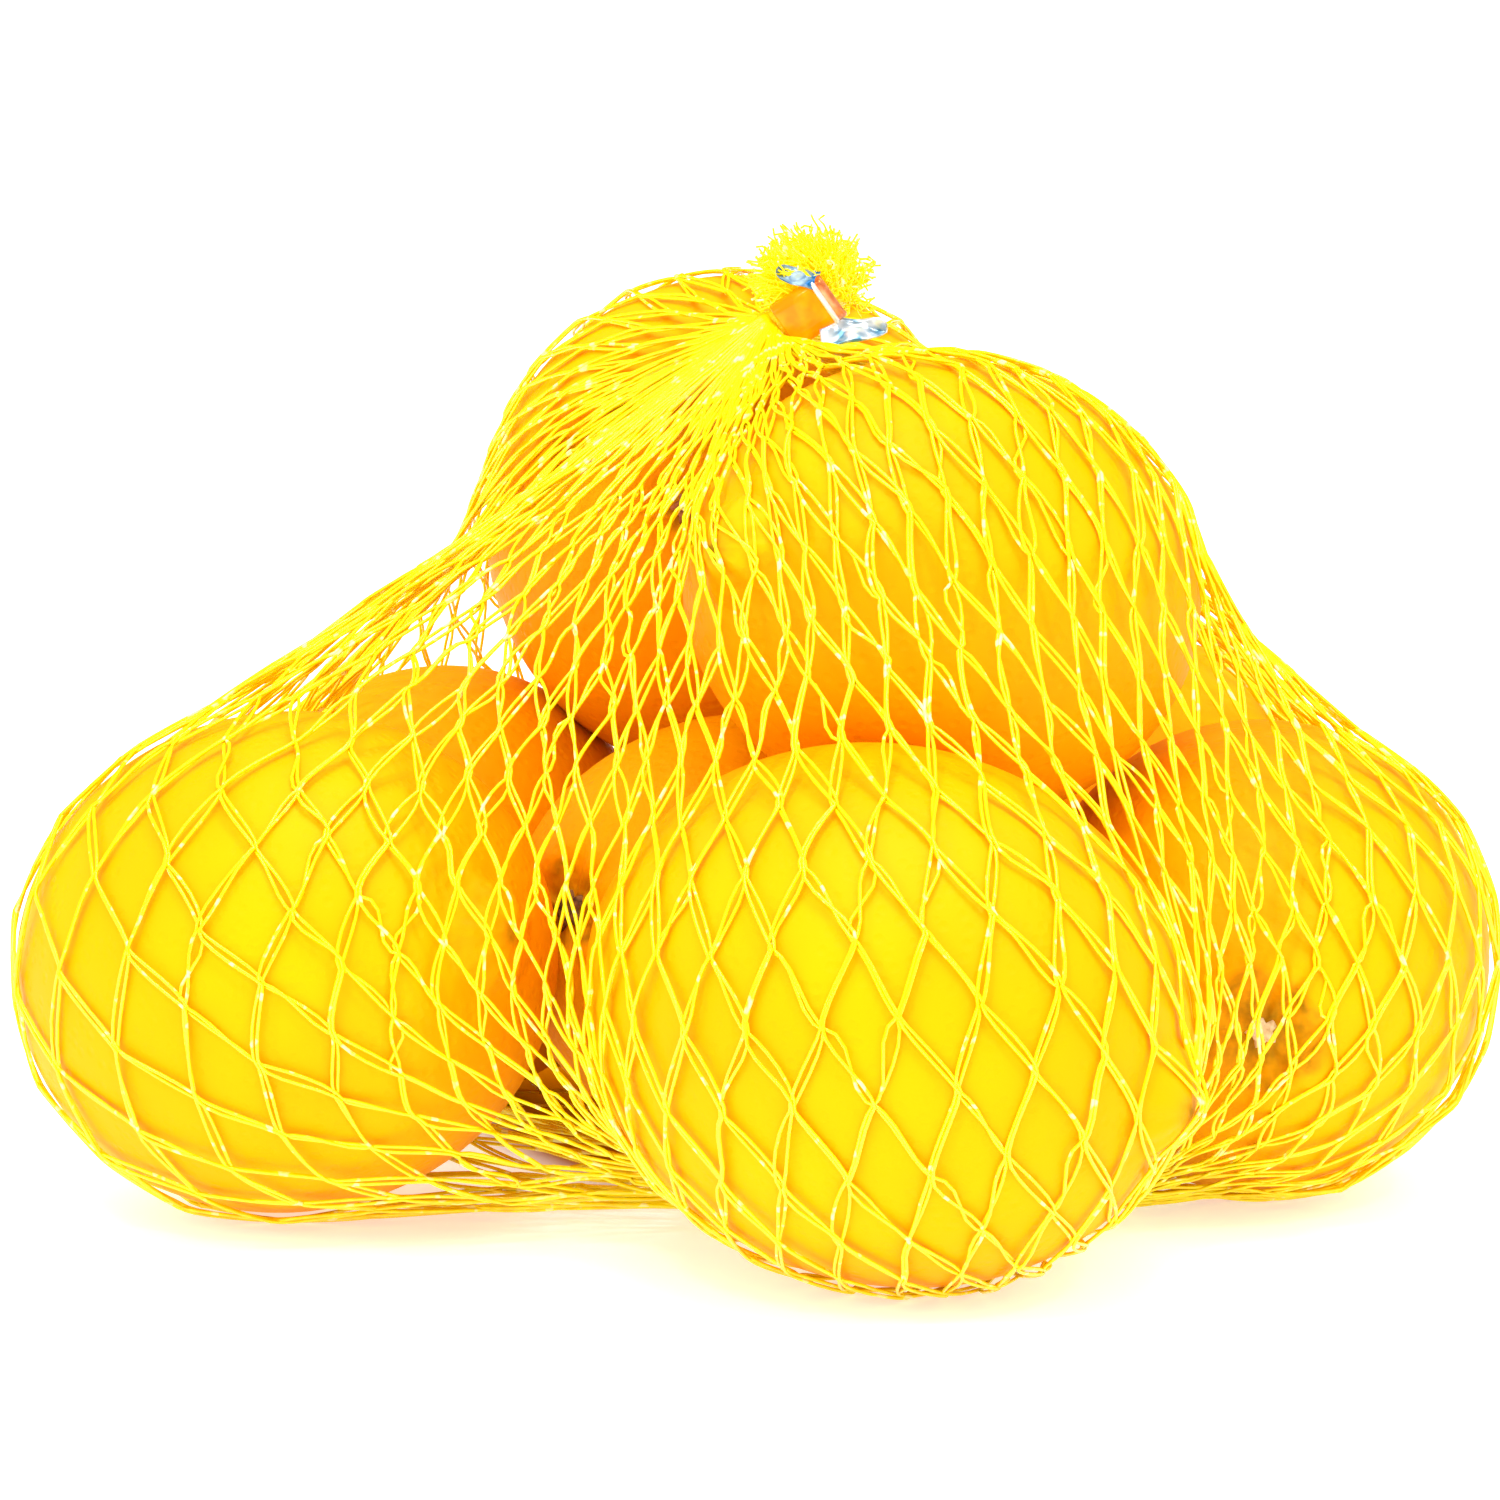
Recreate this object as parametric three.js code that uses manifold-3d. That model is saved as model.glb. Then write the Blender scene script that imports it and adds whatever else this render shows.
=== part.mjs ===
// A net of eight lemons: a knotted net tube drawn tight over a heap of fruit,
// gathered in under the heap and closed at the top by a crimped metal clip,
// above which the cut end of the net fans out in a short tuft.
// Millimetres, +Z up. The origin is the middle of the base, and -Y is the front.
import * as THREE from "three";
import { mergeVertices } from "three/addons/utils/BufferGeometryUtils.js";
import Module from "manifold-3d";

// Fruit: the centre in plan, the height of the centre where other fruit carries it,
// the way the pointed end looks (degrees from +X, degrees above level),
// and the half length and half width.
const LEMONS = [
  { at: [14.4, -59.5], heading: -29.5, tilt: -10.8, half: [36.1, 31.0] },
  { at: [-56.95, -24.6], heading: -40.0, tilt: 12.0, half: [34.8, 30.6] },
  { at: [61.5, -7.3], heading: 85.8, tilt: 5.2, half: [36.4, 28.8] },
  { at: [0.4, 5.4], heading: 44.0, tilt: -12.9, half: [35.2, 28.1] },
  { at: [-42.2, 46.0], heading: 83.9, tilt: -1.9, half: [36.4, 28.9] },
  { at: [45.4, 61.3], heading: 16.9, tilt: 1.0, half: [36.4, 30.4] },
  { at: [22.1, -18.2], height: 75.6, heading: 220.9, tilt: 12.1, half: [34.1, 28.1] },
  { at: [-2.6, 46.4], height: 76.4, heading: 79.0, tilt: -10.0, half: [36.8, 33.3] },
];
const TIP_RADIUS = 6.5; // the round knob at a lemon's pointed end
const TIP_INSET = 3.5; // its centre's distance inside the end of the oval
const FLOOR_GAP = 0.5; // what the squeezed net leaves under a lemon

// Net: strands round the tube, rows of knots down it, and a strand from knot to knot
const COLUMNS = 80;
const ROWS = 24;
const STRAND = 9.4;
const LONGEST = 1.03; // how long a strand may end up, as a share of its length
const SHORTEST = [
  // down to this row, the least share of its length that a strand keeps
  [4, 0.8],
  [18, 0.7],
  [24, 0.5],
];
const NET_STANDS_OFF = 1.0; // the outer side of the net from the skin of the fruit
const SWEEPS = 600;
const PULL = 0.25; // the first sweep's share of the net's tension, which then falls
const LAST_PULL = 0.02;
const LENGTH_SHARE = 0.6; // the share of a strand's length error mended in one sweep
const MOST_SHARE = 0.2; // of a strand that one sweep moves a knot by, so that no knot overshoots
const EVEN = 0.3; // how far a sweep first moves a knot to midway between its neighbours
const LAST_EVEN = 0.015;
const GRIP = 0.5; // the share of its move that a knot lying on the fruit or the floor loses
const BUNCH = 0.14; // how far the strands crowd together on one side of the net
const BUNCH_HEADING = 205; // that side, in degrees
const MESH_DEPTH = 3.0; // how deep an opening of the net lies below its knots
const MESH_DEPTH_SHARE = 0.45; // the most depth, as a share of the opening's width
const MESH_STANDS_OFF = 0.3; // the middle of an opening from the skin of the fruit
const MESHES_FROM = 8; // the height above which openings are sunk

// The bell that the net starts as, before it is drawn tight
const BELL = { x: 3.8, y: -0.5, radius: 105, middle: 52, half: 58, fullness: 0.8 };

// Neck, clip and tuft, along one slanting line; the gather under the heap
const NECK = new THREE.Vector3(-0.2, 8.5, 103.2);
const NECK_LINE = new THREE.Vector3(0.82, 0, 0.57).normalize();
const NECK_RADIUS = 2.2;
const GATHER = new THREE.Vector3(-11.2, -16.5, 7.0);
const GATHER_RADIUS = 2.5;
const GATHER_DIMPLE = 1.0;
const CLIP_LENGTH = 6.9;
const CLIP_START = 4.4; // along the neck line
const CLIP_INSIDE = [2.6, 2.9]; // half height and half width of the hole
const CLIP_WALL = 0.55;
const CLIP_CORNER = 0.9;
const CLIP_CURVE_STEPS = 6; // of each round corner
const HOLE_OVERRUN = 5; // of the block that cuts the clip's hole, past both ends
const TUFT_START = 0.4; // past the clip
const TUFT_LINE = new THREE.Vector3(-0.1, 0.45, 0.88).normalize(); // the way the tuft turns
const TUFT = [
  // step along the line, radius, share of the turn from the neck line to the tuft line
  [0.0, 2.2, 0.0],
  [1.4, 3.0, 0.2],
  [2.6, 5.2, 0.6],
  [2.8, 6.8, 1.0],
];
const TUFT_HOLLOW = [-1.0, 3.4, 1.0]; // the ring inside the tuft's ragged rim
const TUFT_FLOOR = -1.6;
const TUFT_POINTS = 9; // tongues of cut net round the rim
const TUFT_FINE_POINTS = 5;
const TUFT_RAGGED = 0.19; // how much the tongues vary the rim's radius
const TUFT_TONGUE = 0.8; // how far the tongues stand up

// The two bent ends of the clip's strip: where each starts from the clip's middle,
// the way it runs, the way its width lies, its length, and its width at both ends
const FLAPS = [
  {
    root: [1.4, -3.2, -2.3],
    runs: [1, 0.1, 0.04],
    lies: [-0.1, 0.65, 0.76],
    size: [8.4, 4.0, 2.8],
  },
  {
    root: [1.2, -3.2, 3.5],
    runs: [-0.97, 0, 0.2],
    lies: [0.22, 0.3, 0.88],
    size: [5.4, 2.6, 1.8],
  },
];
const FLAP_THICK = 0.6;
const FLAP_CURVE_STEPS = 8;
const WELD = 1e-4; // corners closer than this are one
const ROOM = { wide: 400, high: 300 }; // a block above the floor that holds the whole heap

const wasm = await Module();
wasm.setup();

const radians = (degrees) => (degrees * Math.PI) / 180;

// The direction of a lemon's pointed end.
function pointing({ heading, tilt }) {
  const level = Math.cos(radians(tilt));
  return new THREE.Vector3(
    level * Math.cos(radians(heading)),
    level * Math.sin(radians(heading)),
    Math.sin(radians(tilt)),
  );
}

// How far an upright ray reaches from a lemon's centre to the level that just touches it.
function halfHeight({ half: [long, wide] }, line) {
  return Math.sqrt((long * line.z) ** 2 + wide ** 2 * (1 - line.z ** 2));
}

// The rounds that hold the net off: an oval and a knob for each lemon.
function heap(standsOff) {
  const rounds = [];
  for (const lemon of LEMONS) {
    const line = pointing(lemon);
    const height = lemon.height ?? halfHeight(lemon, line) + FLOOR_GAP;
    const centre = new THREE.Vector3(...lemon.at, height);
    const [long, wide] = lemon.half.map((size) => size + standsOff);
    rounds.push({ centre, line, long, wide });
    const knob = centre.clone().addScaledVector(line, lemon.half[0] - TIP_INSET);
    const radius = TIP_RADIUS + standsOff;
    rounds.push({ centre: knob, line, long: radius, wide: radius });
  }
  return rounds;
}

// Moves a point that lies inside a round straight out from its centre, and says if it did.
function pushOut(point, { centre, line, long, wide }) {
  const out = point.clone().sub(centre);
  const along = out.dot(line);
  const across = Math.max(out.lengthSq() - along ** 2, 0);
  const share = Math.sqrt((along / long) ** 2 + across / wide ** 2);
  if (share < 1) point.copy(centre).addScaledVector(out, 1 / Math.max(share, 1e-6));
  return share < 1;
}

// A ring of knots round a line, the first one towards +X, crowded on the bunched side.
function ring(centre, line, radius, turn = 0) {
  const right = new THREE.Vector3(1, 0, 0).addScaledVector(line, -line.x).normalize();
  const back = line.clone().cross(right);
  return Array.from({ length: COLUMNS }, (_, column) => {
    const even = (2 * Math.PI * (column + turn)) / COLUMNS;
    const angle = even - BUNCH * Math.sin(even - radians(BUNCH_HEADING));
    return centre
      .clone()
      .addScaledVector(right, radius * Math.cos(angle))
      .addScaledVector(back, radius * Math.sin(angle));
  });
}

const halfStep = (row) => (row % 2) / 2; // each row of knots is half a mesh round from the last

// The net before it is drawn tight: rows of knots down a bell, from the neck to the gather.
function looseNet() {
  const rows = [];
  for (let row = 0; row <= ROWS; row += 1) {
    const angle = (Math.PI * row) / ROWS;
    const centre = new THREE.Vector3(BELL.x, BELL.y, BELL.middle + BELL.half * Math.cos(angle));
    const radius = BELL.radius * Math.sin(angle) ** BELL.fullness;
    rows.push(ring(centre, new THREE.Vector3(0, 0, 1), radius, halfStep(row)));
  }
  rows[0] = ring(NECK, NECK_LINE, NECK_RADIUS);
  rows[ROWS] = ring(GATHER, new THREE.Vector3(0, 0, 1), GATHER_RADIUS, halfStep(ROWS));
  return rows;
}

// The two columns of the next row that a knot's strands run down to.
function below(row, column) {
  const left = row % 2 === 0 ? (column + COLUMNS - 1) % COLUMNS : column;
  return [left, (left + 1) % COLUMNS];
}

// Draws the net tight: in each sweep the strands pull, then keep their length, each row of
// knots spreads evenly, the fruit and the floor hold the knots off, and those that lie on them
// slide less.
function drawTight(rows, rounds) {
  const moves = rows.map((row) => row.map(() => new THREE.Vector3()));
  const slides = rows.map((row) => row.map(() => 1));
  const span = new THREE.Vector3();
  const longest = LONGEST * STRAND;
  const lowest = FLOOR_GAP - NET_STANDS_OFF;
  for (let sweep = 0; sweep < SWEEPS; sweep += 1) {
    const left = 1 - sweep / SWEEPS;
    const pull = (PULL * left + LAST_PULL) / 4;
    const even = EVEN * left + LAST_EVEN * (1 - left);
    moves.flat().forEach((move) => move.set(0, 0, 0));
    for (let row = 0; row < ROWS; row += 1) {
      const [, least] = SHORTEST.find(([last]) => row < last);
      for (let column = 0; column < COLUMNS; column += 1) {
        for (const next of below(row, column)) {
          span.subVectors(rows[row + 1][next], rows[row][column]);
          const length = span.length() + 1e-9;
          const error = length - THREE.MathUtils.clamp(length, least * STRAND, longest);
          const share = Math.min(pull + (LENGTH_SHARE * error) / (2 * length), MOST_SHARE);
          moves[row][column].addScaledVector(span, share);
          moves[row + 1][next].addScaledVector(span, -share);
        }
      }
    }
    for (let row = 1; row < ROWS; row += 1) {
      rows[row].forEach((knot, column) => {
        const beside = [COLUMNS - 1, 1].map((step) => rows[row][(column + step) % COLUMNS]);
        span.addVectors(...beside).divideScalar(2).sub(knot);
        moves[row][column].addScaledVector(span, even);
      });
      rows[row].forEach((knot, column) => {
        knot.addScaledVector(moves[row][column], slides[row][column]);
        const touched = rounds.map((round) => pushOut(knot, round)).includes(true);
        const held = touched || knot.z < lowest;
        knot.z = Math.max(knot.z, lowest);
        slides[row][column] = held ? 1 - GRIP : 1;
      });
    }
  }
  return rows;
}

// Collects corners and triangles of one closed surface.
class Surface {
  corners = [];
  faces = [];

  add(point) {
    this.corners.push(point.x, point.y, point.z);
    return this.corners.length / 3 - 1;
  }

  // A fan of triangles from a middle corner round a closed loop.
  fan(middle, loop) {
    loop.forEach((corner, i) => this.faces.push(middle, corner, loop[(i + 1) % loop.length]));
  }

  geometry() {
    const made = new THREE.BufferGeometry();
    made.setAttribute("position", new THREE.Float32BufferAttribute(this.corners, 3));
    made.setIndex(this.faces);
    return made;
  }
}

// From the upright line through the bell's middle to a point.
function awayFromAxis({ x, y, z }) {
  return new THREE.Vector3(x - BELL.x, y - BELL.y, z - BELL.middle);
}

// Each opening of the net becomes four triangles round its middle, which is sunk below the
// knots as far as the fruit lets it.
function skinOverMeshes(surface, rows, ids, rounds, skins) {
  for (let row = 0; row < ROWS - 1; row += 1) {
    for (let column = 0; column < COLUMNS; column += 1) {
      const [left, right] = below(row, column);
      const bottom = below(row + 1, left).find((next) => below(row + 1, right).includes(next));
      const across = rows[row + 1][right].clone().sub(rows[row + 1][left]);
      const down = rows[row + 2][bottom].clone().sub(rows[row][column]);
      const middle = rows[row + 1][left].clone().add(rows[row + 1][right]);
      middle.add(rows[row][column]).add(rows[row + 2][bottom]).divideScalar(4);
      if (middle.z > MESHES_FROM) {
        const depth = Math.min(MESH_DEPTH, MESH_DEPTH_SHARE * across.length());
        const inward = across.cross(down).normalize();
        middle.addScaledVector(inward, inward.dot(awayFromAxis(middle)) > 0 ? -depth : depth);
        skins.forEach((round) => pushOut(middle, round));
      } else {
        rounds.forEach((round) => pushOut(middle, round));
      }
      surface.fan(surface.add(middle), [
        ids[row][column],
        ids[row + 1][left],
        ids[row + 2][bottom],
        ids[row + 1][right],
      ]);
    }
  }
}

// The neck above the net's first row, and the tuft that it opens into.
function addTuft(surface, firstRing) {
  const centre = NECK.clone().addScaledVector(NECK_LINE, CLIP_START + CLIP_LENGTH + TUFT_START);
  const lineAt = (turn) => NECK_LINE.clone().lerp(TUFT_LINE, turn).normalize();
  let last = firstRing;
  const rings = [...TUFT, TUFT_HOLLOW].map(([step, radius, turn], index) => {
    const line = lineAt(turn);
    centre.addScaledVector(line, step);
    const ragged = index === TUFT.length - 1 ? 1 : 0;
    return ring(centre, line, radius).map((point, column) => {
      const around = (2 * Math.PI * column) / COLUMNS;
      const tongue = Math.sin(TUFT_POINTS * around) + Math.sin(TUFT_FINE_POINTS * around + 1) / 2;
      point.sub(centre).multiplyScalar(1 + ragged * TUFT_RAGGED * tongue);
      point.add(centre).addScaledVector(line, ragged * TUFT_TONGUE * tongue);
      return surface.add(point);
    });
  });
  for (const next of rings) {
    for (let column = 0; column < COLUMNS; column += 1) {
      const beside = (column + 1) % COLUMNS;
      surface.faces.push(last[column], last[beside], next[beside]);
      surface.faces.push(last[column], next[beside], next[column]);
    }
    last = next;
  }
  surface.fan(surface.add(centre.addScaledVector(lineAt(1), TUFT_FLOOR)), last);
}

// Rows 0 and 1, and the last two, leave half meshes that single triangles close.
function closeEnds(surface, rows, ids) {
  for (let column = 0; column < COLUMNS; column += 1) {
    const [, right] = below(0, column);
    surface.faces.push(ids[0][column], ids[1][right], ids[0][(column + 1) % COLUMNS]);
    const [left, beside] = below(ROWS - 1, column);
    surface.faces.push(ids[ROWS - 1][column], ids[ROWS][left], ids[ROWS][beside]);
  }
  const dimple = GATHER.clone();
  dimple.z += GATHER_DIMPLE;
  surface.fan(surface.add(dimple), [...ids[ROWS]].reverse());
}

// A closed geometry as a solid that can be joined and cut.
function solidOf(geometry) {
  const bare = geometry.clone();
  bare.deleteAttribute("normal");
  bare.deleteAttribute("uv");
  const merged = mergeVertices(bare, WELD);
  return new wasm.Manifold(
    new wasm.Mesh({
      numProp: 3,
      vertProperties: merged.attributes.position.array,
      triVerts: new Uint32Array(merged.index.array),
    }),
  );
}

function geometryOf(solid) {
  const { vertProperties, triVerts } = solid.getMesh();
  const made = new THREE.BufferGeometry();
  made.setAttribute("position", new THREE.BufferAttribute(vertProperties, 3));
  made.setIndex(new THREE.BufferAttribute(triVerts, 1));
  made.computeVertexNormals();
  return made;
}

// The outer form of the drawn net, with small flat spots where it rests.
function netForm() {
  const rounds = heap(NET_STANDS_OFF);
  const rows = drawTight(looseNet(), rounds);
  const surface = new Surface();
  const ids = rows.map((row) => row.map((knot) => surface.add(knot)));
  skinOverMeshes(surface, rows, ids, rounds, heap(MESH_STANDS_OFF));
  closeEnds(surface, rows, ids);
  addTuft(surface, ids[0]);
  const above = new THREE.BoxGeometry(ROOM.wide, ROOM.wide, ROOM.high);
  above.translate(0, 0, ROOM.high / 2);
  return geometryOf(solidOf(surface.geometry()).intersect(solidOf(above)));
}

// A rounded rectangle, drawn anticlockwise round the origin.
function roundedBox(shape, halfX, halfY, corner) {
  shape.moveTo(halfX, -halfY + corner);
  shape.absarc(halfX - corner, halfY - corner, corner, 0, Math.PI / 2);
  shape.absarc(-halfX + corner, halfY - corner, corner, Math.PI / 2, Math.PI);
  shape.absarc(-halfX + corner, -halfY + corner, corner, Math.PI, 1.5 * Math.PI);
  shape.absarc(halfX - corner, -halfY + corner, corner, 1.5 * Math.PI, 2 * Math.PI);
  return shape;
}

// One bent end of the clip's strip: a thin tongue that narrows to a round tip.
function flapSolid({ root, runs, lies, size: [length, wide, narrow] }) {
  const outline = new THREE.Shape();
  outline.moveTo(0, -wide / 2);
  outline.lineTo(length - narrow / 2, -narrow / 2);
  outline.absarc(length - narrow / 2, 0, narrow / 2, -Math.PI / 2, Math.PI / 2);
  outline.lineTo(0, wide / 2);
  const plate = new THREE.ExtrudeGeometry(outline, {
    depth: FLAP_THICK,
    bevelEnabled: false,
    curveSegments: FLAP_CURVE_STEPS,
  });
  plate.translate(0, 0, -FLAP_THICK / 2);
  const along = new THREE.Vector3(...runs).normalize();
  const face = along.clone().cross(new THREE.Vector3(...lies)).normalize();
  const middle = NECK.clone().addScaledVector(NECK_LINE, CLIP_START + CLIP_LENGTH / 2);
  const place = new THREE.Matrix4().makeBasis(along, face.clone().cross(along), face);
  plate.applyMatrix4(place.setPosition(middle.add(new THREE.Vector3(...root))));
  return solidOf(plate);
}

// The clip: a metal strip crimped round the neck, its two ends bent away.
function clipForm() {
  const [height, width] = CLIP_INSIDE;
  const outer = [height + CLIP_WALL, width + CLIP_WALL, CLIP_CORNER + CLIP_WALL];
  const place = new THREE.Matrix4().makeBasis(
    new THREE.Vector3(NECK_LINE.z, 0, -NECK_LINE.x),
    new THREE.Vector3(0, 1, 0),
    NECK_LINE,
  );
  place.setPosition(NECK.clone().addScaledVector(NECK_LINE, CLIP_START));
  const block = (outline, beyond) => {
    const depth = CLIP_LENGTH + 2 * beyond;
    const made = new THREE.ExtrudeGeometry(outline, {
      depth,
      bevelEnabled: false,
      curveSegments: CLIP_CURVE_STEPS,
    });
    return solidOf(made.translate(0, 0, -beyond).applyMatrix4(place));
  };
  const hole = block(roundedBox(new THREE.Shape(), height, width, CLIP_CORNER), HOLE_OVERRUN);
  const strip = FLAPS.reduce(
    (made, flap) => made.add(flapSolid(flap)),
    block(roundedBox(new THREE.Shape(), ...outer), 0),
  );
  return geometryOf(strip.subtract(hole));
}

const yellowNet = new THREE.MeshStandardMaterial({ color: 0xffd000, roughness: 0.45 });
const clipMetal = new THREE.MeshStandardMaterial({
  color: 0xd8dade,
  roughness: 0.28,
  metalness: 1,
});

function piece(name, geometry, material) {
  const mesh = new THREE.Mesh(geometry, material);
  mesh.name = name;
  return mesh;
}

const netOfLemons = new THREE.Group();
netOfLemons.add(piece("lemon_net", netForm(), yellowNet));
netOfLemons.add(piece("neck_clip", clipForm(), clipMetal));

export default netOfLemons;
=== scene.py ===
"""A net of eight lemons: the fruit, the net of paired filaments drawn tight round it, its clip and tuft."""

import math

import bpy
import numpy as np
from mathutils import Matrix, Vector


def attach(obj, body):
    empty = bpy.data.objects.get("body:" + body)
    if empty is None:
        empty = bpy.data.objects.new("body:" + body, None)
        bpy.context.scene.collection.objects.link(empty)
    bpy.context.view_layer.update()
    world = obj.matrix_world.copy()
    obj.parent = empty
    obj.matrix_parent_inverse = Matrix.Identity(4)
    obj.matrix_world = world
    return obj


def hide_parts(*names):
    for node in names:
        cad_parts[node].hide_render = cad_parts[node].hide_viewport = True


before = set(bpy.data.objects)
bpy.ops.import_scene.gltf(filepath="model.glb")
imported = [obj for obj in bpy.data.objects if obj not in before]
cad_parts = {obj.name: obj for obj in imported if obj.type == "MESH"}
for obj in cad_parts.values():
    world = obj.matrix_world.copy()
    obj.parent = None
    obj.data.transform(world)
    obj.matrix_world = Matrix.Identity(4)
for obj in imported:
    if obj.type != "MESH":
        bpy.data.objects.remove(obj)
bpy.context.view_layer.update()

MM = 0.001
BODY = "root"
NET_NODE = "lemon_net"
CLIP_NODE = "neck_clip"

# Fruit, in millimetres and degrees: name, centre in plan, height of the centre where other fruit
# carries it, heading and tilt of the pointed end, half length, half width, turn about its length
LEMONS = (
    ("front", (14.4, -59.5), None, -29.5, -10.8, 36.1, 31.0, 40),
    ("left", (-56.95, -24.6), None, -40.0, 12.0, 34.8, 30.6, 0),
    ("right", (61.5, -7.3), None, 85.8, 5.2, 36.4, 28.8, 75),
    ("middle", (0.4, 5.4), None, 44.0, -12.9, 35.2, 28.1, 10),
    ("back_left", (-42.2, 46.0), None, 83.9, -1.9, 36.4, 28.9, 120),
    ("back_right", (45.4, 61.3), None, 16.9, 1.0, 36.4, 30.4, 200),
    ("top_right", (22.1, -18.2), 75.6, 220.9, 12.1, 34.1, 28.1, 300),
    ("top_left", (-2.6, 46.4), 76.4, 79.0, -10.0, 36.8, 33.3, 20),
)
TIP_RADIUS = 6.5
TIP_INSET = 3.5
TIP_BLEND = 3.0
FLOOR_GAP = 0.5
AROUND = 128
ALONG = 96

# Net, in millimetres
COLUMNS = 76
ROWS = 24
STRAND = 9.4
LONGEST = 1.03
# the least share of its length that a strand keeps, in each band of rows down to a row
SHORTEST = ((4, 0.8), (18, 0.7), (24, 0.5))
NET_STANDS_OFF = 0.55
SWEEPS = 600
PULL = 0.25
LAST_PULL = 0.02
LENGTH_SHARE = 0.6
MOST_SHARE = 0.2
EVEN = 0.3
LAST_EVEN = 0.015
GRIP = 0.5
BELL_CENTRE = (3.8, -0.5)
BELL_RADIUS = 105
BELL_MIDDLE = 52
BELL_HALF = 58
BELL_FULLNESS = 0.8
NECK_LINE = np.array((0.82, 0, 0.57)) / math.hypot(0.82, 0.57)
NECK = np.array((-0.2, 8.5, 103.2)) + 3.0 * NECK_LINE
NECK_RADIUS = 2.5
GATHER = np.array((33.0, -28.0, 2.0))
GATHER_RADIUS = 2.5
BUNCH = 0.14
BUNCH_HEADING = 205
UP = np.array((0.0, 0.0, 1.0))

# Filaments, in millimetres
FILAMENT_RADIUS = 0.225
FILAMENT_SIDES = 5
FILAMENT_STEPS = 6
KNOT_HALF = 1.3
KNOT_WANDER = 0.3
# the rows below the neck in which knots and filaments find their full play
PLAY_ROWS = 5
BOW = (0.15, 0.55)
SLACK_BOW = 0.5
SLACK_SHARE = 0.12
CROSSING_SHARE = 0.35
LIFT = (-0.1, 0.25)

# Neck and tuft, in millimetres
BUNDLE_RADIUS = 1.9
BUNDLE_STEPS = 9
BUNDLE_WANDER = 0.12
TUFT_THREADS = 1700
TUFT_STEPS = 12
TUFT_THREAD_RADIUS = 0.14
TUFT_THREAD_SIDES = 4
TUFT_HEADING = np.array((-0.5, 0.5, 0.45))
TUFT_SPREAD = (0.62, 0.5, 0.36)
TUFT_LENGTH = 8.4
TUFT_LONGER_LEFT = 2.0
TUFT_HEIGHT = 8.0
TUFT_START = np.array((-0.5, 1.2, -0.3))
TUFT_CURL = 0.7
TUFT_CURL_TURNS = (1.3, 2.7, 5.1)
TUFT_TOP = 121.0
# the tuft's threads stay behind this distance in front of the neck, at this height and below it
TUFT_FRONT = 2.5
TUFT_FRONT_HEIGHT = 112
TUFT_FRONT_SLOPE = 0.35

# Clip, in millimetres
CLIP_START = 0.9
CLIP_LENGTH = 7.4
CLIP_HALF = (3.15, 3.45)
CLIP_CORNER = 1.45
CLIP_WALL = 0.45
CLIP_MIDDLE = NECK + NECK_LINE * (CLIP_START + CLIP_LENGTH / 2)
# along the clip, and how far its wall stands out there
STRIP_SHAPE = ((0.0, -0.12), (0.2, 0.0), (5.5, 0.0), (5.7, -0.08))
RIB_SHAPE = ((5.62, -0.05), (5.75, 0.18), (5.95, 0.26), (6.15, 0.18), (6.3, -0.05))
EDGE_SHAPE = ((6.22, -0.1), (6.35, 0.0), (7.2, 0.0), (7.4, -0.12))
FLAP_HALF_THICK = 0.14
# root from the clip's middle, direction, normal, length, width at the root and at the end
CLIP_FLAPS = (
    ("clip_long_end", (1.4, -3.3, -2.6), (1, 0.1, 0.04), (0.1, -0.75, 0.65), 8.4, 4.4, 2.8),
    ("clip_short_end", (1.2, -2.9, 3.7), (-0.97, 0.1, 0.2), (0.1, -0.9, 0.4), 5.4, 2.6, 1.8),
)

rng = np.random.default_rng(7)


def unit(v):
    return v / np.maximum(np.linalg.norm(v, axis=-1, keepdims=True), 1e-9)


def pointing(heading, tilt):
    heading, tilt = math.radians(heading), math.radians(tilt)
    return np.array(
        (math.cos(tilt) * math.cos(heading), math.cos(tilt) * math.sin(heading), math.sin(tilt))
    )


def centre_of(plan, height, line, long, wide):
    if height is None:
        height = math.sqrt((long * line[2]) ** 2 + wide**2 * (1 - line[2] ** 2)) + FLOOR_GAP
    return np.array((plan[0], plan[1], height))


# Mesh helpers


def mesh_object(name, points, faces, material, node):
    """A piece of the object, from points in millimetres."""
    mesh = bpy.data.meshes.new(name)
    mesh.from_pydata((np.asarray(points) * MM).tolist(), [], faces)
    mesh.validate()
    mesh.polygons.foreach_set("use_smooth", [True] * len(mesh.polygons))
    mesh.materials.append(material)
    piece = bpy.data.objects.new(name, mesh)
    bpy.context.collection.objects.link(piece)
    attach(piece, BODY)
    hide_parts(node)
    return piece


def tube_faces(chains, rings, sides):
    """Quads of many equal tubes with capped ends, whose points are stacked chain by chain."""
    step = np.arange(rings - 1)[:, None]
    side = np.arange(sides)[None, :]
    beside = (side + 1) % sides
    quad = np.stack(
        [
            step * sides + side,
            step * sides + beside,
            (step + 1) * sides + beside,
            (step + 1) * sides + side,
        ],
        axis=-1,
    ).reshape(-1, 4)
    starts = np.arange(chains)[:, None, None] * rings * sides
    faces = (quad[None] + starts).reshape(-1, 4).tolist()
    for chain in range(chains):
        first = chain * rings * sides
        last = first + (rings - 1) * sides
        faces.append([first + k for k in reversed(range(sides))])
        faces.append([last + k for k in range(sides)])
    return faces


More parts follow.
